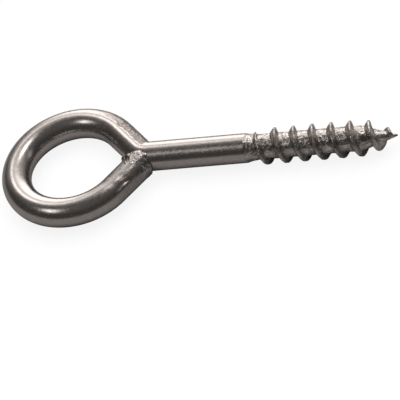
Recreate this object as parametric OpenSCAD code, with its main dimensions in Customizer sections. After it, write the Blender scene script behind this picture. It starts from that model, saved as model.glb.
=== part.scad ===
// Screw-in eye bolt: one round steel rod bent into a closed eye, with a rolled
// wood-screw thread and a gimlet point. The eye is closed by a weld.
//
// Origin: centre of the eye, in the plane of the eye.
// +X runs along the screw axis towards the point, +Z is square to the eye,
// and the arm that flows into the shank is on the +Y side. Right-hand thread.

/* [Rod] */
// diameter of the round rod
rod_d = 8; // [7:0.25:8.5]
// length over all, from the back of the eye to the point
overall_length = 110; // [95:1:150]

/* [Eye] */
// clear diameter inside the eye
eye_inner_d = 23.6; // [22:0.2:28]
// how far the screw axis lies to the +Y side of the eye's centre
shank_offset = 1.8; // [1:0.1:2.6]
// angle between the far arm and the screw axis
far_arm_angle = 48; // [45:1:52]
// centre-line radius of the tight bend between far arm and shank
neck_radius = 4.6; // [4.4:0.1:5.4]
// angle between the near arm and the screw axis
near_arm_angle = 54; // [50:1:56]
// length of the near arm, from the ring to its sheared end
near_arm_length = 11.2; // [10.6:0.1:11.6]

/* [Weld] */
// diameter of the weld ripples
weld_ripple_d = 5.2; // [4.6:0.1:5.6]
// number of weld ripples on each side of the joint
weld_ripples = 5; // [4:1:7]
// height of the weld's centre line above the plane of the eye
weld_height = 2.2; // [1.9:0.1:2.5]
// how far the weld reaches along the shank, past the near arm's end
weld_reach = 2.4; // [2.4:0.2:3.2]

/* [Thread] */
// length of the threaded end, from the plain shank to the point
thread_length = 41.8; // [36:0.2:48]
// length of the run-out, where the rod narrows to the thread's core
runout_length = 3.8; // [3:0.1:5]
// diameter over the thread crests
thread_crest_d = 9.9; // [9:0.1:10.6]
// diameter of the thread's core
thread_core_d = 6.9; // [6:0.1:6.9]
// distance from crest to crest
thread_pitch = 5.2; // [4.8:0.1:5.6]
// width of the thread ridge where it meets the core
ridge_base_w = 2.5; // [2:0.1:3]
// width of the blunt crest
ridge_crest_w = 0.5; // [0.3:0.1:0.8]
// how far the crest leans towards the point
ridge_lean = 0.3; // [0:0.1:0.5]
// distance from the plain shank to where the ridge begins
ridge_lead_in = 2; // [1.6:0.1:3]

/* [Point] */
// length of the conical point
point_length = 10; // [8:0.5:12]
// how long the crest keeps its height along the point; larger is fuller
point_fullness = 2; // [1.6:0.1:3]
// distance from the end of the ridge to the tip
ridge_end_gap = 0.9; // [0.7:0.1:1.4]
// diameter of the blunt tip
tip_d = 0.4; // [0.2:0.1:0.6]

/* [Hidden] */

rod_r = rod_d / 2;
core_r = thread_core_d / 2;
tip_r = tip_d / 2;
eye_r = (eye_inner_d + rod_d) / 2;

// where each region of the rod begins along the screw axis
tip_x = overall_length - eye_r - rod_r;
point_x = tip_x - point_length;
runout_x = tip_x - thread_length;
core_x = runout_x + runout_length;

// the far arm leaves the ring at right angles to this radius
far_arm_start = [eye_r * sin(far_arm_angle), eye_r * cos(far_arm_angle)];
far_arm_length = (far_arm_start[1] - shank_offset - neck_radius * (1 - cos(far_arm_angle)))
                 / sin(far_arm_angle);
neck_x = far_arm_start[0] + far_arm_length * cos(far_arm_angle) + neck_radius * sin(far_arm_angle);

// the near arm leaves the ring on the other side of the screw axis
near_arm_start = [eye_r * sin(near_arm_angle), -eye_r * cos(near_arm_angle)];
near_arm_end = near_arm_start + near_arm_length * [cos(near_arm_angle), sin(near_arm_angle)];

// the weld follows the seam from the eye's inner corner to the side of the shank
weld_start = near_arm_end + [-rod_r, 0];
weld_middle = near_arm_end;
weld_fall = 0.3;
weld_end = near_arm_end + [weld_reach, -weld_fall * weld_reach];

// the ridge grows over its first half turn and dies away over its last
growth_length = thread_pitch / 2;
growth_at_start = 0.15;
growth_at_end = 0.2;

// thread ridge resolution
steps_per_turn = 36;
ridge_x = runout_x + ridge_lead_in;
ridge_end_x = tip_x - ridge_end_gap;
ridge_steps = ceil((ridge_end_x - ridge_x) / thread_pitch * steps_per_turn);
// the straight sides of the ridge just touch the round core
chord = 1 / cos(180 / steps_per_turn);

steel = [0.62, 0.59, 0.57];
rough_steel = [0.5, 0.47, 0.45];
weld_steel = [0.55, 0.52, 0.52];

$fn = 96;

// a straight length of rod in the eye's plane
module straight_rod(start, heading, length) {
    translate([start[0], start[1], 0])
        rotate([0, 0, heading])
            rotate([0, 90, 0])
                cylinder(r = rod_r, h = length);
}

// a bent length of rod in the eye's plane
module bent_rod(centre, radius, from_angle, sweep) {
    translate([centre[0], centre[1], 0])
        rotate([0, 0, from_angle])
            rotate_extrude(angle = sweep)
                translate([radius, 0])
                    circle(r = rod_r);
}

// a round length along the screw axis, straight or tapered
module turned(from_x, to_x, r1, r2) {
    translate([from_x, shank_offset, 0])
        rotate([0, 90, 0])
            cylinder(r1 = r1, r2 = r2, h = to_x - from_x);
}

// the closed part of the eye, from the near arm round the back to the far arm
module ring_solid() {
    bent_rod([0, 0], eye_r, 90 - far_arm_angle, 180 + far_arm_angle + near_arm_angle);
}

module far_arm_solid() {
    straight_rod(far_arm_start, -far_arm_angle, far_arm_length);
}

module neck_solid() {
    bent_rod([neck_x, shank_offset + neck_radius], neck_radius, 270 - far_arm_angle, far_arm_angle);
}

module shank_solid() {
    turned(neck_x, runout_x, rod_r, rod_r);
}

// the near arm's sheared end is pressed into the crook of far arm and neck
module near_arm_solid() {
    difference() {
        difference() {
            straight_rod(near_arm_start, near_arm_angle, near_arm_length);
            far_arm_solid();
        }
        neck_solid();
    }
}

// position of a weld ripple along the seam, k from 0 to 1
function weld_point(k) =
    k < 0.5 ? weld_start + 2 * k * (weld_middle - weld_start)
            : weld_middle + (2 * k - 1) * (weld_end - weld_middle);

// radius of the plain rod, run-out, core and point at a place along the axis
function body_radius(x) =
    x < runout_x ? rod_r
    : x < core_x ? rod_r + (core_r - rod_r) * (x - runout_x) / runout_length
    : x < point_x ? core_r
    : core_r + (tip_r - core_r) * (x - point_x) / point_length;

// share of the ridge's full size at a place along the axis
function ridge_growth(x) =
    min(1, growth_at_start + (x - ridge_x) / growth_length,
        growth_at_end + (ridge_end_x - x) / growth_length);

function crest_radius(x) =
    let (along_point = max(0, (x - point_x) / point_length),
         full = thread_crest_d / 2 * (1 - pow(along_point, point_fullness)))
    body_radius(x) + (full - body_radius(x)) * ridge_growth(x);

// four corners of the ridge's section, each as [x, radius]
function ridge_section(x) =
    let (g = ridge_growth(x),
         half = ridge_base_w / 2 * g,
         crest = ridge_crest_w / 2 * g,
         lean = ridge_lean * g)
    [[x - half, chord * body_radius(x - half)],
     [x + lean - crest, crest_radius(x)],
     [x + lean + crest, crest_radius(x)],
     [x + half, chord * body_radius(x + half)]];

// one closed ring of points of the ridge, turned to its place on the helix
function ridge_corners(step) =
    let (turn = 360 * step / steps_per_turn,
         x = min(ridge_end_x, ridge_x + thread_pitch * step / steps_per_turn))
    [for (c = ridge_section(x)) [c[0], c[1] * cos(turn), c[1] * sin(turn)]];

module eye_ring() {
    color(steel)
        ring_solid();
}

module far_arm() {
    color(steel)
        far_arm_solid();
}

module neck_bend() {
    color(steel)
        neck_solid();
}

module near_arm() {
    color(steel)
        near_arm_solid();
}

// weld ripples laid over the seam on one side of the joint
module weld_ripple_row(side) {
    for (i = [0 : weld_ripples - 1]) {
        p = weld_point(i / (weld_ripples - 1));
        translate([p[0], p[1], side * weld_height])
            sphere(d = weld_ripple_d);
    }
}

// weld metal, cut away where each length of rod is
module weld_solid(side) {
    difference() {
        difference() {
            difference() {
                difference() {
                    weld_ripple_row(side);
                    shank_solid();
                }
                far_arm_solid();
            }
            neck_solid();
        }
        straight_rod(near_arm_start, near_arm_angle, near_arm_length);
    }
}

module weld_top() {
    color(weld_steel)
        weld_solid(1);
}

module weld_underside() {
    color(weld_steel)
        weld_solid(-1);
}

module shank() {
    color(steel)
        shank_solid();
}

module thread_runout() {
    color(rough_steel)
        turned(runout_x, core_x, rod_r, core_r);
}

module thread_core() {
    color(rough_steel)
        turned(core_x, point_x, core_r, core_r);
}

// the raised right-hand helix
module thread_ridge() {
    points = [for (step = [0 : ridge_steps]) each ridge_corners(step)];
    last = 4 * ridge_steps;
    sides = [for (step = [0 : ridge_steps - 1], j = [0 : 3])
        let (a = 4 * step + j, b = 4 * step + (j + 1) % 4)
        each [[a, b, b + 4], [a, b + 4, a + 4]]];
    color(rough_steel)
        translate([0, shank_offset, 0])
            polyhedron(concat(points), concat(sides, [[3, 2, 1, 0]],
                       [[last, last + 1, last + 2, last + 3]]));
}

module gimlet_point() {
    color(rough_steel)
        turned(point_x, tip_x, core_r, tip_r);
}

eye_ring();
far_arm();
neck_bend();
near_arm();
weld_top();
weld_underside();
shank();
thread_runout();
thread_core();
thread_ridge();
gimlet_point();
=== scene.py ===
"""Looks for the screw-in eye bolt: a polished steel rod bent into a welded eye."""
import bpy
import math
import numpy as np
from mathutils import Matrix, Vector, noise


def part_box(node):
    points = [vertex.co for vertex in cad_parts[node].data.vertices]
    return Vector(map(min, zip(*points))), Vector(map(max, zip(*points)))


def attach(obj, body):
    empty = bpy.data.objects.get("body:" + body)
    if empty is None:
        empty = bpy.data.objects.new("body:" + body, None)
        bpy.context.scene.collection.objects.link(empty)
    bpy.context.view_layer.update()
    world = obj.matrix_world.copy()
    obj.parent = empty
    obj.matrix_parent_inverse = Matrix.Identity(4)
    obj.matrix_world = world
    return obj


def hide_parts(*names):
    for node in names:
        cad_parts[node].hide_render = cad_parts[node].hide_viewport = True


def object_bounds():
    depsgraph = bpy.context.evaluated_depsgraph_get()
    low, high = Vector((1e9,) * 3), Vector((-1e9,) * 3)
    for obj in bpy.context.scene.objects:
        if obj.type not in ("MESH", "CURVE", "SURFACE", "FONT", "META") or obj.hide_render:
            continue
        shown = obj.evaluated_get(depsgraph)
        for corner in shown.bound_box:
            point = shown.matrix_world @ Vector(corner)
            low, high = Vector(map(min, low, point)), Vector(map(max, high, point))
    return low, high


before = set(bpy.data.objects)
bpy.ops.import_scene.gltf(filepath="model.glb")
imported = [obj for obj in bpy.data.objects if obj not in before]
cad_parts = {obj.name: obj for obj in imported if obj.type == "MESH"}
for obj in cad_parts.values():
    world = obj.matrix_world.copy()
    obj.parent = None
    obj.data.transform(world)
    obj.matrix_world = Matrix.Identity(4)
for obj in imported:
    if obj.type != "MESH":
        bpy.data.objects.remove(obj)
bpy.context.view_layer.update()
bpy.context.scene.view_settings.view_transform = "Standard"

MM = 0.001


# ---------------------------------------------------------------- sizes from the CAD frame

ring_lo, ring_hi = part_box("eye_ring")
shank_lo, shank_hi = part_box("shank")
core_lo, core_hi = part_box("thread_core")
ridge_lo, ridge_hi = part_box("thread_ridge")
point_lo, point_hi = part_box("gimlet_point")

ROD_R = (shank_hi[2] - shank_lo[2]) / 2
EYE_R = -ring_lo[0] - ROD_R
AXIS_Y = (shank_hi[1] + shank_lo[1]) / 2
NECK_X = shank_lo[0]
RUNOUT_X = shank_hi[0]
CORE_X = core_lo[0]
CORE_R = (core_hi[2] - core_lo[2]) / 2
POINT_X = point_lo[0]
TIP_X = point_hi[0]
CREST_R = (ridge_hi[2] - ridge_lo[2]) / 2

# the rest of the bent rod's design
FAR_ANGLE = math.radians(48)
NEAR_ANGLE = math.radians(54)
NECK_R = 4.6 * MM
NEAR_LENGTH = 11.2 * MM
FAR_LENGTH = ((EYE_R * math.cos(FAR_ANGLE) - AXIS_Y - NECK_R * (1 - math.cos(FAR_ANGLE)))
              / math.sin(FAR_ANGLE))

# the middle of the near arm's sheared end
NEAR_END = (EYE_R * math.sin(NEAR_ANGLE) + NEAR_LENGTH * math.cos(NEAR_ANGLE),
            -EYE_R * math.cos(NEAR_ANGLE) + NEAR_LENGTH * math.sin(NEAR_ANGLE))

# thread design
PITCH = 5.2 * MM
RIDGE_X = RUNOUT_X + 2.0 * MM
RIDGE_END_X = TIP_X - 0.9 * MM
RIDGE_BASE = 2.5 * MM
RIDGE_CREST = 0.5 * MM
RIDGE_LEAN = 0.3 * MM
POINT_FULLNESS = 2.0
TIP_R = 0.2 * MM


# ---------------------------------------------------------------- small helpers

def smooth(edge0, edge1, x):
    """Smooth step from 0 at edge0 to 1 at edge1, for numbers or arrays."""
    t = np.clip((x - edge0) / (edge1 - edge0), 0.0, 1.0)
    return t * t * (3 - 2 * t)


def fbm(points, scale, octaves, seed):
    """Layered noise, about -1 to 1, at each point (metres)."""
    offset = Vector((seed * 17.3, seed * 5.7, seed * 11.9))
    return np.array([noise.fractal(Vector(p) / scale + offset, 0.9, 2.1, octaves)
                     for p in points])


def mesh_object(name, verts, faces, material, uvs=None):
    mesh = bpy.data.meshes.new(name)
    mesh.from_pydata([tuple(v) for v in verts], [], faces)
    mesh.materials.append(material)
    mesh.polygons.foreach_set("use_smooth", [True] * len(mesh.polygons))
    if uvs is not None:
        layer = mesh.uv_layers.new(name="along_around")
        flat = [c for poly in uvs for uv in poly for c in uv]
        layer.data.foreach_set("uv", flat)
    mesh.update()
    obj = bpy.data.objects.new(name, mesh)
    bpy.context.scene.collection.objects.link(obj)
    return obj


def keep_wear_and_shade(obj, grid):
    """Store the wear-and-shade value of each point of the skin (real wear on the rod, painted shade on
    the thread flanks); points added after the grid get the full value.
    """
    values = np.ones(len(obj.data.vertices))
    values[:grid.size] = grid.reshape(-1)
    wear_and_shade = obj.data.attributes.new("wear_and_shade", "FLOAT", "POINT")
    wear_and_shade.data.foreach_set("value", values)


def tube_faces(rings, around):
    """Quads and their (along, around) coordinates for a grid of closed rings."""
    faces, uvs = [], []
    for i in range(rings - 1):
        for j in range(around):
            k = (j + 1) % around
            faces.append((i * around + j, i * around + k, (i + 1) * around + k,
                          (i + 1) * around + j))
            uvs.append(((i, j), (i, j + 1), (i + 1, j + 1), (i + 1, j)))
    return faces, uvs


# ---------------------------------------------------------------- the bent rod

def rod_path():
    """Centre line from the near arm's sheared end round the eye to the run-out.

    Returns arrays: place along the rod, x, y, heading.
    """
    stations = []
    s = 0.0

    def straight(x, y, heading, length, step):
        nonlocal s
        n = max(1, round(length / step))
        for i in range(n):
            stations.append((s + length * i / n, x + length * i / n * math.cos(heading),
                             y + length * i / n * math.sin(heading), heading))
        s += length
        return x + length * math.cos(heading), y + length * math.sin(heading)

    def bend(x, y, heading, radius, turn, step):
        """turn > 0 is to the left."""
        nonlocal s
        side = 1 if turn > 0 else -1
        cx = x - side * radius * math.sin(heading)
        cy = y + side * radius * math.cos(heading)
        length = abs(turn) * radius
        n = max(1, round(length / step))
        for i in range(n):
            h = heading + turn * i / n
            stations.append((s + length * i / n, cx + side * radius * math.sin(h),
                             cy - side * radius * math.cos(h), h))
        s += length
        h = heading + turn
        return cx + side * radius * math.sin(h), cy - side * radius * math.cos(h), h

    # start at the near arm's end and go against its heading, clockwise round the eye
    x, y = NEAR_END
    heading = NEAR_ANGLE + math.pi
    x, y = straight(x, y, heading, NEAR_LENGTH, 0.3 * MM)
    x, y, heading = bend(x, y, heading, EYE_R, -(math.pi + FAR_ANGLE + NEAR_ANGLE), 0.45 * MM)
    x, y = straight(x, y, heading, FAR_LENGTH, 0.2 * MM)
    x, y, heading = bend(x, y, heading, NECK_R, FAR_ANGLE, 0.15 * MM)
    x, y = straight(x, y, heading, RUNOUT_X - NECK_X, 0.4 * MM)
    stations.append((s, x, y, heading))
    return np.array(stations)


ROD_AROUND = 128
# the press marks on the far arm: turn towards the top, and how wide and deep they are
PRESS_TURN = math.radians(46)
PRESS_DEPTH = 0.11 * MM
# the hammered side of the near arm: turn towards the top
HAMMER_TURN = math.radians(60)
# the scored line beside the near arm's end: turn towards the top, ends, width and depth
SCORE_TURN = math.radians(36)
SCORE_FROM, SCORE_TO = 7.0 * MM, 12.5 * MM
SCORE_WIDTH = 0.45 * MM
SCORE_DEPTH = 0.3 * MM
# where the heat and hammering reached along the rod: full up to the first, gone at the second
BLUNT_FULL, BLUNT_GONE = 9 * MM, 17 * MM
# the rolled-over edge of the sheared end: how far it reaches and how much it takes off
SHEAR_REACH = 0.7 * MM
SHEAR_DEPTH = 0.45 * MM


def build_rod(material):
    path = rod_path()
    s, cx, cy, heading = path.T
    rings = len(path)
    t = np.linspace(0, 2 * np.pi, ROD_AROUND, endpoint=False)
    cos_t, sin_t = np.cos(t), np.sin(t)
    # side direction: left of the heading
    nx, ny = -np.sin(heading), np.cos(heading)
    centre = np.stack([cx, cy, np.zeros(rings)], 1)[:, None, :]
    normal = (cos_t[None, :, None] * np.stack([nx, ny, np.zeros(rings)], 1)[:, None, :]
              + sin_t[None, :, None] * np.array([0, 0, 1.0])[None, None, :])
    s_grid = np.repeat(s[:, None], ROD_AROUND, 1)
    radius = np.full((rings, ROD_AROUND), ROD_R)

    flat_points = (centre + ROD_R * normal).reshape(-1, 3)
    wave = fbm(flat_points, 14 * MM, 2, 1).reshape(rings, ROD_AROUND)
    radius += 0.02 * MM * (wave - 0.5)

    # rough press marks on the outside of the far arm, up to the tight bend
    far_s = NEAR_LENGTH + (math.pi + FAR_ANGLE + NEAR_ANGLE) * EYE_R
    ragged = fbm(flat_points, 3.0 * MM, 2, 3).reshape(rings, ROD_AROUND) - 0.4
    along = s_grid - far_s + 1.5 * MM * ragged
    outer = np.cos(t - PRESS_TURN)[None, :] + 0.06 * ragged
    fade_out = 1 - smooth(FAR_LENGTH + 0.5 * MM, FAR_LENGTH + 2 * MM, along)
    pressed = smooth(-11 * MM, -1 * MM, along) * fade_out * smooth(0.74, 0.83, outer)
    rough = fbm(flat_points, 0.7 * MM, 3, 4).reshape(rings, ROD_AROUND)
    radius += pressed * PRESS_DEPTH * (rough - 0.7)

    # long shallow flats on the near arm, where it was hammered shut
    blunt = 1 - smooth(BLUNT_FULL, BLUNT_GONE, s_grid)
    hammered = blunt * smooth(0.1, 0.7, np.cos(t - HAMMER_TURN))[None, :]
    blows = fbm(flat_points, 4.0 * MM, 2, 9).reshape(rings, ROD_AROUND)
    radius += hammered * MM * (0.16 * (blows - 0.75) + 0.03 * (rough - 0.5))

    # a scored line beside the near arm's end, with a raised lip
    across = ROD_R * (t - SCORE_TURN)[None, :] + 0.4 * MM * ragged
    reach = smooth(SCORE_FROM, SCORE_FROM + 1.5 * MM, s_grid)
    reach = reach * (1 - smooth(SCORE_TO - 2 * MM, SCORE_TO, s_grid))
    lip = 0.5 * np.exp(-((across + 1.7 * SCORE_WIDTH) / SCORE_WIDTH) ** 2)
    score = np.exp(-(across / SCORE_WIDTH) ** 2) - lip
    radius -= reach * SCORE_DEPTH * score
    radius = np.minimum(radius, ROD_R)

    # rolled-over edge of the sheared end
    k = np.clip(1 - s_grid / SHEAR_REACH, 0, 1)
    radius -= SHEAR_DEPTH * k * k

    verts = list((centre + radius[..., None] * normal).reshape(-1, 3))
    faces, uvs = tube_faces(rings, ROD_AROUND)
    uvs = [[(s[i] / MM if i < rings else 0, j / ROD_AROUND) for i, j in poly] for poly in uvs]
    # close the sheared end with a few inner rings, slightly rough
    first = np.array(verts[:ROD_AROUND])
    middle = first.mean(0)
    out = np.array([-math.cos(heading[0]), -math.sin(heading[0]), 0])
    previous = 0
    for f in (0.75, 0.5, 0.25):
        ring = middle + (first - middle) * f
        bump = fbm(ring, 0.8 * MM, 3, 7)
        base = len(verts)
        verts += list(ring + out[None, :] * (0.08 * MM * bump)[:, None])
        for j in range(ROD_AROUND):
            k2 = (j + 1) % ROD_AROUND
            faces.append((previous + k2, previous + j, base + j, base + k2))
            uvs.append(((0, 0), (0, 0), (0, 0), (0, 0)))
        previous = base
    centre_index = len(verts)
    verts.append(middle)
    for j in range(ROD_AROUND):
        faces.append((previous + (j + 1) % ROD_AROUND, previous + j, centre_index))
        uvs.append(((0, 0), (0, 0), (0, 0)))
    obj = mesh_object("rod_skin", verts, faces, material, uvs)
    # how far the polish has been lost: most where pressed, some where heated and hammered
    lost = np.maximum(pressed, 0.55 * blunt)
    keep_wear_and_shade(obj, lost)
    return obj


# ---------------------------------------------------------------- the threaded end

THREAD_AROUND = 144
# pits and broad swellings in the thread's surface: size, and depth in mm
PIT_SIZE, PIT_DEPTH = 0.62 * MM, 0.09
SWELL_SIZE, SWELL_DEPTH = 2.6 * MM, 0.07
# marks left by the rolling dies on the run-out: spacing, and depth in mm
DIE_SPACING, DIE_DEPTH = 0.8 * MM, 0.07


def body_radius(x):
    """Rod, run-out, core and point, at places along the axis."""
    point = CORE_R + (TIP_R - CORE_R) * (x - POINT_X) / (TIP_X - POINT_X)
    run = ROD_R + (CORE_R - ROD_R) * (x - RUNOUT_X) / (CORE_X - RUNOUT_X)
    return np.where(x < RUNOUT_X, ROD_R, np.where(x < CORE_X, run, np.where(x < POINT_X, CORE_R, point)))


def ridge_height(x, turn):
    """Height of the ridge above the body, at x and an angle in turns, arrays."""
    phase = (x - RIDGE_X) / PITCH - turn
    near = np.round(phase)
    dx = (phase - near) * PITCH
    at = x - dx
    g = np.clip(np.minimum(0.15 + (at - RIDGE_X) / (0.5 * PITCH),
                           0.2 + (RIDGE_END_X - at) / (0.5 * PITCH)), 0, 1)
    g = np.where((at < RIDGE_X - 0.02 * PITCH) | (at > RIDGE_END_X), 0, g)
    along = np.clip((at - POINT_X) / (TIP_X - POINT_X), 0, 1)
    full = CREST_R * (1 - along ** POINT_FULLNESS)
    height = np.maximum(full - body_radius(at), 0) * g
    lean = RIDGE_LEAN * g
    half = RIDGE_BASE / 2 * np.maximum(g, 0.2)
    crest = RIDGE_CREST / 2 * g
    left = np.clip((dx + half) / (half + lean - crest), 0, 1)
    right = np.clip((half - dx) / (half - lean - crest), 0, 1)
    flank = np.minimum(left, right)
    # a little fillet at the root
    flank = flank * smooth(-0.05, 0.35, flank)
    return height * flank


def build_thread(material):
    x = np.concatenate([np.arange(RUNOUT_X, TIP_X - 0.3 * MM, 0.11 * MM), [TIP_X - 0.15 * MM]])
    rings = len(x)
    turn = np.arange(THREAD_AROUND) / THREAD_AROUND
    xx, tt = np.meshgrid(x, turn, indexing="ij")
    body = body_radius(xx)
    height = ridge_height(xx, tt)
    ang = 2 * np.pi * tt
    flat_points = (np.stack([xx, AXIS_Y + body * np.cos(ang), body * np.sin(ang)], -1)).reshape(-1, 3)

    pits = fbm(flat_points, PIT_SIZE, 4, 21).reshape(rings, THREAD_AROUND)
    broad = fbm(flat_points, SWELL_SIZE, 2, 22).reshape(rings, THREAD_AROUND)
    inside = smooth(RUNOUT_X, RUNOUT_X + 0.7 * MM, xx)
    fade_tip = np.clip((TIP_X - xx) / (4 * MM), 0.35, 1)
    radius = body + height
    uneven = PIT_DEPTH * (pits - 0.5) + SWELL_DEPTH * (broad - 0.35)
    radius += inside * fade_tip * MM * uneven
    # the crest stays inside the size of the real thread
    radius = np.minimum(radius, CREST_R)

    # ring marks across the run-out, where the rolling dies took hold
    band = smooth(0.2, 0.5, (xx - RUNOUT_X) / MM) * (1 - smooth(3.4, 4.2, (xx - RUNOUT_X) / MM))
    ringing = np.sin((xx - RUNOUT_X) / DIE_SPACING * 2 * np.pi + 2.5 * broad - 1.5 * np.sin(ang))
    radius += band * MM * (DIE_DEPTH * ringing * (0.4 + pits) - DIE_DEPTH)

    verts = np.stack([xx, AXIS_Y + radius * np.cos(ang), radius * np.sin(ang)], -1).reshape(-1, 3)
    verts = list(verts)
    faces, uvs = tube_faces(rings, THREAD_AROUND)
    uvs = [[(x[i] / MM, j / THREAD_AROUND) for i, j in poly] for poly in uvs]
    tip = len(verts)
    verts.append(np.array([TIP_X, AXIS_Y, 0]))
    last = (rings - 1) * THREAD_AROUND
    for j in range(THREAD_AROUND):
        faces.append((last + j, last + (j + 1) % THREAD_AROUND, tip))
        uvs.append(((0, 0), (0, 0), (0, 0)))
    obj = mesh_object("thread_skin", verts, faces, material, uvs)
    # painted shade: the ridge flanks get a darker colour than the root between them, in uneven patches,
    # and a smoother finish
    shade_patches = np.clip(0.25 + 0.5 * broad, 0, 1)
    flank = shade_patches * smooth(0.12, 0.5, height / (CREST_R - CORE_R))
    keep_wear_and_shade(obj, flank)
    return obj


# ---------------------------------------------------------------- the weld

BURNT_LENGTH = 5.5 * MM
BURNT_SKIN = 0.06 * MM
WELD_VOXEL = 0.16 * MM
# ripples: place from the near arm's end, height, and half sizes, all in mm
RIPPLES = (
    (-3.9, -0.2, 1.7, 1.5, 1.0, 1.6),
    (-2.7, -0.1, 2.5, 1.6, 1.3, 1.4),
    (-1.3, 0.1, 2.9, 1.7, 1.5, 1.2),
    (0.2, 0.2, 2.9, 1.6, 1.6, 1.1),
    (1.6, 0.2, 2.5, 1.5, 1.4, 1.0),
    (0.0, -1.0, 0.0, 2.4, 1.0, 2.6),
)


def build_weld(material):
    """Weld metal laid over the joint on both sides, as one rippled skin."""
    end = Vector((*NEAR_END, 0))
    parts = []
    for side in (1, -1):
        for dx, dy, z, ax, ay, az in RIPPLES:
            bpy.ops.mesh.primitive_uv_sphere_add(segments=32, ring_count=20, radius=1)
            blob = bpy.context.object
            blob.matrix_world = (Matrix.Translation(end + Vector((dx, dy, side * z)) * MM)
                                 @ Matrix.Diagonal((ax * MM, ay * MM, az * MM, 1)))
            parts.append(blob)
    # the end of the near arm is burnt and hammered as far as the heat reached
    heading = Vector((math.cos(NEAR_ANGLE), math.sin(NEAR_ANGLE), 0))
    bpy.ops.mesh.primitive_cylinder_add(vertices=64, radius=ROD_R + BURNT_SKIN, depth=BURNT_LENGTH)
    burnt = bpy.context.object
    burnt.matrix_world = (Matrix.Translation(end - heading * (BURNT_LENGTH / 2 - BURNT_SKIN))
                          @ heading.to_track_quat("Z", "Y").to_matrix().to_4x4())
    parts.append(burnt)
    bpy.ops.object.select_all(action="DESELECT")
    for blob in parts:
        blob.select_set(True)
    bpy.context.view_layer.objects.active = parts[0]
    bpy.ops.object.join()
    weld = bpy.context.object
    weld.name = "weld_skin"
    bpy.ops.object.transform_apply(location=True, rotation=True, scale=True)
    remesh = weld.modifiers.new("skin", "REMESH")
    remesh.mode = "VOXEL"
    remesh.voxel_size = WELD_VOXEL
    bpy.ops.object.modifier_apply(modifier="skin")
    relax = weld.modifiers.new("relax", "SMOOTH")
    relax.factor = 0.6
    relax.iterations = 5
    bpy.ops.object.modifier_apply(modifier="relax")
    mesh = weld.data
    points = np.array([v.co[:] for v in mesh.vertices])
    normals = np.array([v.normal[:] for v in mesh.vertices])
    coarse = fbm(points, 1.7 * MM, 3, 31)
    fine = fbm(points, 0.5 * MM, 2, 32)
    # the burnt skin sinks below the rod away from the joint
    back = (np.array(end) - points) @ np.array(heading)
    sink = smooth(0.4 * BURNT_LENGTH, 0.95 * BURNT_LENGTH, back)
    points += normals * (MM * (0.2 * (coarse - 0.35) + 0.05 * (fine - 0.3) - 0.3 * sink))[:, None]
    mesh.vertices.foreach_set("co", points.reshape(-1))
    mesh.materials.clear()
    mesh.materials.append(material)
    mesh.polygons.foreach_set("use_smooth", [True] * len(mesh.polygons))
    mesh.update()
    return weld


# ---------------------------------------------------------------- materials

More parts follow.
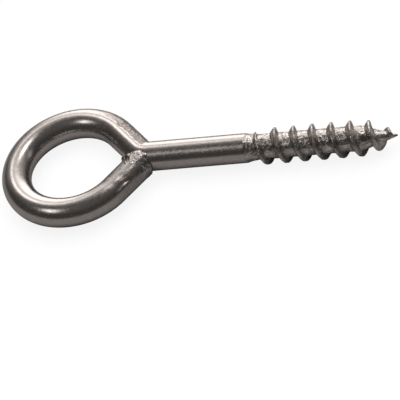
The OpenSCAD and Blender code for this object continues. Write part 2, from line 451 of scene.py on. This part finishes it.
def steel_material(name, colours, roughness, bump_mm, grain_mm, streaks, wear_and_shade=None):
    """Plated steel: colour and gloss vary slowly, with fine grain in the surface.

    The wear-and-shade argument gives two colours and the roughness where the skin's wear-and-shade value
    is 1: real wear on the rod, painted shade on the thread flanks.
    """
    mat = bpy.data.materials.new(name)
    mat.use_nodes = True
    nodes, links = mat.node_tree.nodes, mat.node_tree.links
    shader = nodes["Principled BSDF"]
    shader.inputs["Metallic"].default_value = 1.0
    place = nodes.new("ShaderNodeTexCoord")

    def noise_node(scale_mm, detail, rough=0.55):
        n = nodes.new("ShaderNodeTexNoise")
        n.inputs["Scale"].default_value = 1.0 / (scale_mm * MM)
        n.inputs["Detail"].default_value = detail
        n.inputs["Roughness"].default_value = rough
        links.new(place.outputs["Object"], n.inputs["Vector"])
        return n

    def ramp(source, stops):
        r = nodes.new("ShaderNodeValToRGB")
        r.color_ramp.elements[0].position, r.color_ramp.elements[0].color = stops[0]
        r.color_ramp.elements[1].position, r.color_ramp.elements[1].color = stops[1]
        links.new(source, r.inputs["Fac"])
        return r

    tone = noise_node(grain_mm * 3, 5)
    colour = ramp(tone.outputs["Fac"], ((0.35, (*colours[0], 1)), (0.65, (*colours[1], 1))))
    gloss = noise_node(grain_mm * 1.5, 4)
    rough = nodes.new("ShaderNodeMapRange")
    rough.inputs["From Min"].default_value = 0.3
    rough.inputs["From Max"].default_value = 0.7
    rough.inputs["To Min"].default_value = roughness[0]
    rough.inputs["To Max"].default_value = roughness[1]
    links.new(gloss.outputs["Fac"], rough.inputs["Value"])
    if wear_and_shade:
        amount = nodes.new("ShaderNodeAttribute")
        amount.attribute_name = "wear_and_shade"
        # a colour Mix node takes its colours on inputs 6 and 7 and gives output 2;
        # a number Mix node takes them on inputs 2 and 3 and gives output 0
        tint = nodes.new("ShaderNodeMix")
        tint.data_type = "RGBA"
        links.new(amount.outputs["Fac"], tint.inputs[0])
        links.new(colour.outputs["Color"], tint.inputs[6])
        # mottled colours for real wear on the rod and for painted shade on the thread flanks
        wear_and_shade_mottle = noise_node(grain_mm * 1.2, 4, 0.7)
        wear_and_shade_tone = ramp(wear_and_shade_mottle.outputs["Fac"], ((0.4, (*wear_and_shade[0], 1)), (0.62, (*wear_and_shade[1], 1))))
        links.new(wear_and_shade_tone.outputs["Color"], tint.inputs[7])
        links.new(tint.outputs[2], shader.inputs["Base Color"])
        dull = nodes.new("ShaderNodeMix")
        links.new(amount.outputs["Fac"], dull.inputs[0])
        links.new(rough.outputs["Result"], dull.inputs[2])
        dull.inputs[3].default_value = wear_and_shade[2]
        links.new(dull.outputs[0], shader.inputs["Roughness"])
    else:
        links.new(colour.outputs["Color"], shader.inputs["Base Color"])
        links.new(rough.outputs["Result"], shader.inputs["Roughness"])
    grain = noise_node(grain_mm, 4, 0.6)
    bump = nodes.new("ShaderNodeBump")
    bump.inputs["Distance"].default_value = bump_mm * MM
    bump.inputs["Strength"].default_value = 1.0
    links.new(grain.outputs["Fac"], bump.inputs["Height"])
    if streaks:
        uv = nodes.new("ShaderNodeUVMap")
        uv.uv_map = "along_around"
        stretch = nodes.new("ShaderNodeVectorMath")
        stretch.operation = "MULTIPLY"
        stretch.inputs[1].default_value = (0.12, 60.0, 1.0)
        links.new(uv.outputs["UV"], stretch.inputs[0])
        lines = nodes.new("ShaderNodeTexNoise")
        lines.inputs["Scale"].default_value = 1.0
        lines.inputs["Detail"].default_value = 3
        links.new(stretch.outputs["Vector"], lines.inputs["Vector"])
        drawn = nodes.new("ShaderNodeBump")
        drawn.inputs["Distance"].default_value = streaks * MM
        links.new(lines.outputs["Fac"], drawn.inputs["Height"])
        links.new(bump.outputs["Normal"], drawn.inputs["Normal"])
        links.new(drawn.outputs["Normal"], shader.inputs["Normal"])
    else:
        links.new(bump.outputs["Normal"], shader.inputs["Normal"])
    return mat


# ---------------------------------------------------------------- floor, light and camera

# degrees, then metres: distance, width of view at the target, and the target
CAMERA_AZIMUTH = 24.0
CAMERA_ELEVATION = 45.5
CAMERA_ROLL = -22.4
CAMERA_DISTANCE = 1.69
CAMERA_FIELD = 0.10657
CAMERA_SENSOR = 36
CAMERA_TARGET = (0.03506, -0.00959, -0.00641)

PALE = (0.98, 0.98, 0.98)
FLOOR_PALE = (0.9, 0.9, 0.9)
FLOOR_EVENNESS = 0.9
FLOOR_IN_METAL = (0.2, 0.19, 0.185)
OVERHEAD_WATTS = 22.0
ROOM_TINT = (1.0, 0.955, 0.915)
ROOM_DARK = 0.052
ROOM_TOP = 0.1
# azimuth, elevation, half width, half height, tilt, edge softness, strength
SOFT_BOXES = (
    (95, 8, 20, 34, 0, 0.32, 1.8),
    (60, 60, 10, 8, 0, 0.3, 4.0),
    (128, 47, 8, 8, 0, 0.35, 2.2),
    (-142, 54, 10, 6, -35, 0.35, 3.0),
    (88, 38, 42, 32, 0, 0.5, 0.45),
    (16, 22, 6, 15, 0, 0.5, 0.45),
)


def direction(azimuth, elevation):
    a, e = math.radians(azimuth), math.radians(elevation)
    return Vector((math.cos(a) * math.cos(e), math.sin(a) * math.cos(e), math.sin(e)))


def build_world():
    """A dim studio with soft boxes, as the metal sees it; plain and pale to the camera."""
    world = bpy.data.worlds.new("studio")
    bpy.context.scene.world = world
    world.use_nodes = True
    nodes, links = world.node_tree.nodes, world.node_tree.links
    nodes.clear()
    place = nodes.new("ShaderNodeTexCoord")

    def math_node(op, a, b=None, c=None, clamp=False):
        n = nodes.new("ShaderNodeMath")
        n.operation = op
        n.use_clamp = clamp
        for i, v in enumerate((a, b, c)):
            if v is None:
                continue
            if isinstance(v, (int, float)):
                n.inputs[i].default_value = v
            else:
                links.new(v, n.inputs[i])
        return n.outputs[0]

    def dot(vec):
        n = nodes.new("ShaderNodeVectorMath")
        n.operation = "DOT_PRODUCT"
        links.new(place.outputs["Generated"], n.inputs[0])
        n.inputs[1].default_value = vec
        return n.outputs["Value"]

    def soft_box(azimuth, elevation, half_wide, half_high, tilt, edge, strength):
        """A soft-edged ellipse of light; sizes in degrees."""
        c = direction(azimuth, elevation)
        wide = Vector((-math.sin(math.radians(azimuth)), math.cos(math.radians(azimuth)), 0))
        high = c.cross(wide)
        turn = math.radians(tilt)
        e1 = wide * math.cos(turn) + high * math.sin(turn)
        e2 = high * math.cos(turn) - wide * math.sin(turn)
        a = math_node("DIVIDE", dot(e1), math.sin(math.radians(half_wide)))
        b = math_node("DIVIDE", dot(e2), math.sin(math.radians(half_high)))
        r = math_node("SQRT", math_node("ADD", math_node("MULTIPLY", a, a), math_node("MULTIPLY", b, b)))
        fade = nodes.new("ShaderNodeMapRange")
        fade.interpolation_type = "SMOOTHSTEP"
        links.new(r, fade.inputs["Value"])
        fade.inputs["From Min"].default_value = 1 + edge
        fade.inputs["From Max"].default_value = 1 - edge
        fade.inputs["To Min"].default_value = 0
        fade.inputs["To Max"].default_value = strength
        front = math_node("GREATER_THAN", dot(c), 0.0)
        return math_node("MULTIPLY", fade.outputs["Result"], front)

    up = dot(Vector((0, 0, 1)))
    sky = nodes.new("ShaderNodeMapRange")
    sky.interpolation_type = "SMOOTHSTEP"
    links.new(up, sky.inputs["Value"])
    sky.inputs["From Min"].default_value = 0.45
    sky.inputs["From Max"].default_value = 0.85
    sky.inputs["To Min"].default_value = ROOM_DARK
    sky.inputs["To Max"].default_value = ROOM_TOP
    total = sky.outputs["Result"]
    for box in SOFT_BOXES:
        total = math_node("ADD", total, soft_box(*box))

    seen = nodes.new("ShaderNodeBackground")
    seen.inputs["Color"].default_value = (*PALE, 1)
    seen.inputs["Strength"].default_value = 1.0
    room = nodes.new("ShaderNodeBackground")
    room.inputs["Color"].default_value = (*ROOM_TINT, 1)
    links.new(total, room.inputs["Strength"])
    path = nodes.new("ShaderNodeLightPath")
    mix = nodes.new("ShaderNodeMixShader")
    links.new(path.outputs["Is Camera Ray"], mix.inputs["Fac"])
    links.new(room.outputs["Background"], mix.inputs[1])
    links.new(seen.outputs["Background"], mix.inputs[2])
    out = nodes.new("ShaderNodeOutputWorld")
    links.new(mix.outputs["Shader"], out.inputs["Surface"])


def build_floor():
    """A plain pale floor; the metal sees it as the dim table top it stands for."""
    size = 3.0
    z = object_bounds()[0][2]
    mesh = bpy.data.meshes.new("floor")
    mesh.from_pydata([(-size, -size, z), (size, -size, z), (size, size, z), (-size, size, z)], [],
                     [(0, 1, 2, 3)])
    mat = bpy.data.materials.new("floor_pale")
    mat.use_nodes = True
    nodes, links = mat.node_tree.nodes, mat.node_tree.links
    nodes.clear()
    shaded = nodes.new("ShaderNodeBsdfDiffuse")
    shaded.inputs["Color"].default_value = (*FLOOR_PALE, 1)
    even = nodes.new("ShaderNodeEmission")
    even.inputs["Color"].default_value = (*PALE, 1)
    pale = nodes.new("ShaderNodeMixShader")
    pale.inputs["Fac"].default_value = FLOOR_EVENNESS
    links.new(shaded.outputs["BSDF"], pale.inputs[1])
    links.new(even.outputs["Emission"], pale.inputs[2])
    dim = nodes.new("ShaderNodeBsdfDiffuse")
    dim.inputs["Color"].default_value = (*FLOOR_IN_METAL, 1)
    path = nodes.new("ShaderNodeLightPath")
    mix = nodes.new("ShaderNodeMixShader")
    links.new(path.outputs["Is Camera Ray"], mix.inputs["Fac"])
    links.new(dim.outputs["BSDF"], mix.inputs[1])
    links.new(pale.outputs["Shader"], mix.inputs[2])
    out = nodes.new("ShaderNodeOutputMaterial")
    links.new(mix.outputs["Shader"], out.inputs["Surface"])
    mesh.materials.append(mat)
    floor = bpy.data.objects.new("floor", mesh)
    bpy.context.scene.collection.objects.link(floor)


def build_lights():
    """A broad soft light above that lights the floor; the metal sees the room instead."""
    data = bpy.data.lights.new("overhead", "AREA")
    data.shape = "DISK"
    data.size = 1.6
    data.energy = OVERHEAD_WATTS
    lamp = bpy.data.objects.new("overhead", data)
    lamp.location = (0.03, 0.2, 1.2)
    lamp.rotation_euler = (Vector((0, 0, 0)) - Vector(lamp.location)).to_track_quat("-Z", "Y").to_euler()
    lamp.visible_glossy = False
    lamp.visible_camera = False
    bpy.context.scene.collection.objects.link(lamp)


def build_camera():
    az, el, roll = (math.radians(v) for v in (CAMERA_AZIMUTH, CAMERA_ELEVATION, CAMERA_ROLL))
    back = Vector((math.sin(az) * math.cos(el), -math.cos(az) * math.cos(el), math.sin(el)))
    level = Vector((math.cos(az), math.sin(az), 0))
    upright = back.cross(level)
    right = level * math.cos(roll) + upright * math.sin(roll)
    up = upright * math.cos(roll) - level * math.sin(roll)
    data = bpy.data.cameras.new("camera")
    data.sensor_width = CAMERA_SENSOR
    data.lens = CAMERA_SENSOR * CAMERA_DISTANCE / CAMERA_FIELD
    data.clip_start = 0.05
    data.clip_end = 20
    cam = bpy.data.objects.new("camera", data)
    place = Vector(CAMERA_TARGET) + back * CAMERA_DISTANCE
    cam.matrix_world = Matrix((
        (right.x, up.x, back.x, place.x),
        (right.y, up.y, back.y, place.y),
        (right.z, up.z, back.z, place.z),
        (0, 0, 0, 1)))
    bpy.context.scene.collection.objects.link(cam)
    bpy.context.scene.camera = cam


# ---------------------------------------------------------------- the pieces

# each steel: two colours, roughness, bump in mm, grain in mm, streaks in mm
rod_steel = steel_material(
    "rod_steel", ((0.56, 0.525, 0.51), (0.62, 0.585, 0.57)), (0.2, 0.28), 0.004, 0.6, 0.006,
    wear_and_shade=((0.2, 0.18, 0.17), (0.46, 0.43, 0.415), 0.45))
# the thread's second pair of colours and roughness paint shade on the ridge flanks, darker than the root
thread_steel = steel_material(
    "thread_steel", ((0.34, 0.31, 0.29), (0.8, 0.77, 0.75)), (0.16, 0.36), 0.1, 0.5, 0,
    wear_and_shade=((0.26, 0.235, 0.22), (0.58, 0.55, 0.53), 0.42))
weld_steel = steel_material(
    "weld_steel", ((0.3, 0.275, 0.26), (0.66, 0.63, 0.61)), (0.16, 0.3), 0.06, 0.5, 0)

rod = build_rod(rod_steel)
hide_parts("eye_ring", "far_arm", "neck_bend", "near_arm", "shank")
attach(rod, "root")

thread = build_thread(thread_steel)
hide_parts("thread_runout", "thread_core", "thread_ridge", "gimlet_point")
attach(thread, "root")

weld = build_weld(weld_steel)
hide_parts("weld_top", "weld_underside")
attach(weld, "root")

build_floor()
build_world()
build_lights()
build_camera()
